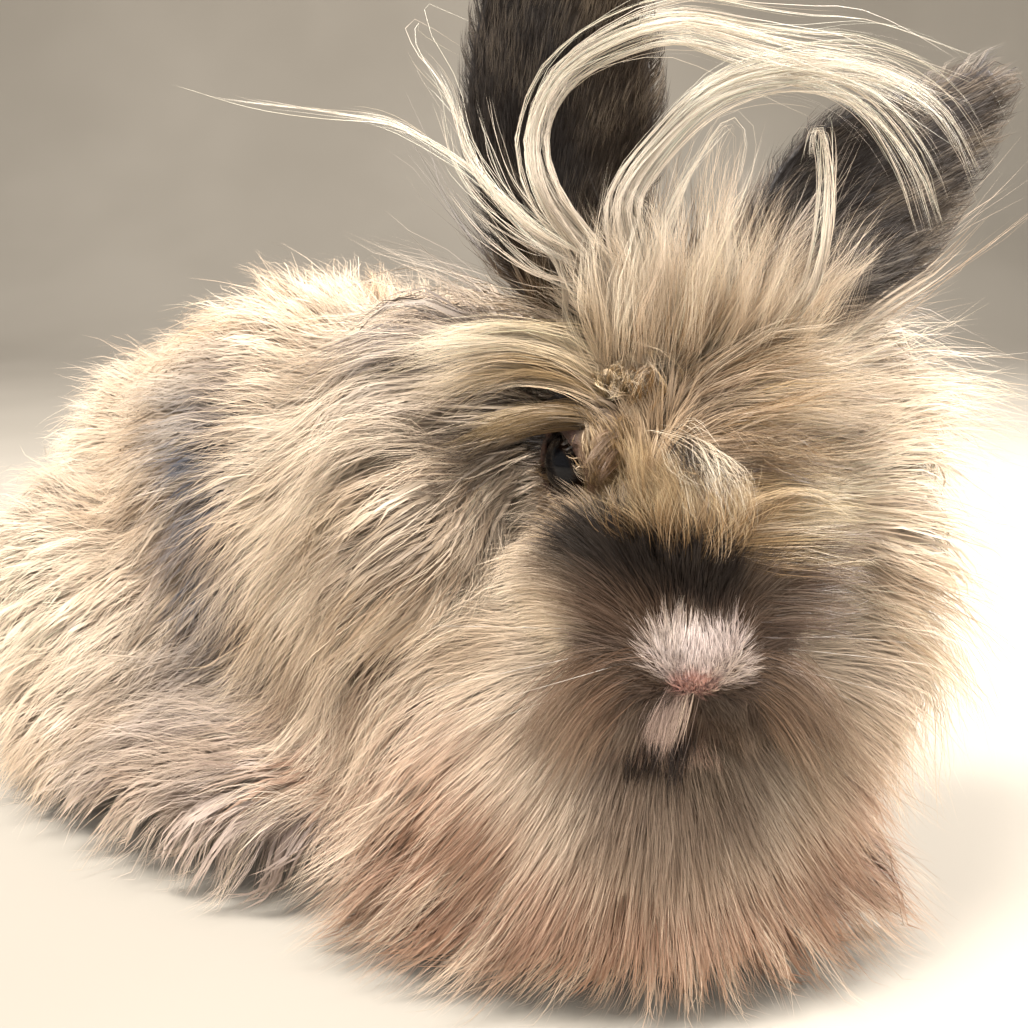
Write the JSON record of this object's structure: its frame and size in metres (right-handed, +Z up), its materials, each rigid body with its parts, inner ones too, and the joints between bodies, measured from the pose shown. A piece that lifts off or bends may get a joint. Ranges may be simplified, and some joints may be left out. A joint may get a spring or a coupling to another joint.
{
  "type": "lionhead rabbit model",
  "caption": "Still life-size lionhead rabbit with a long woolly mane, turned head, upright ears and long crest locks, sitting flat on the floor.",
  "frame": {"origin": "centre of the bounding box's footprint, on the floor under the rabbit", "axes": "+Z up, the body lies along Y with the face towards -Y, the rabbit's left side is +X"},
  "size_m": [0.164, 0.2898, 0.1771],
  "materials": {
    "coat_fawn": "long soft wool, fawn at the tips over blue-grey underfur",
    "coat_cream": "long cream locks, soft, slightly glossy",
    "coat_bib": "long pinkish tan wool",
    "coat_grey": "slate-grey fur",
    "coat_face": "short face fur, dark brown mask with a white snip on the nose",
    "eye_dark": "wet, glossy, nearly black",
    "skin_pink": "bare skin of nose, lids and inner ear, soft and slightly moist"
  },
  "bodies": {
    "root": {"chest_bib": "coat_bib", "crest_lock_1": "coat_cream", "crest_lock_2": "coat_cream", "crest_lock_3": "coat_cream", "crest_lock_4": "coat_cream", "ear_left": "coat_grey", "ear_right": "coat_grey", "eye_left": "eye_dark", "eye_right": "eye_dark", "foreleg_left": "coat_cream", "foreleg_right": "coat_cream", "haunch_left": "coat_fawn", "haunch_right": "coat_fawn", "head": "coat_face", "hind_foot_left": "coat_cream", "hind_foot_right": "coat_cream", "mane_left": "coat_fawn", "mane_right": "coat_fawn", "neck": "coat_grey", "tail": "coat_cream", "trunk": "coat_fawn"}
  },
  "joints": []
}
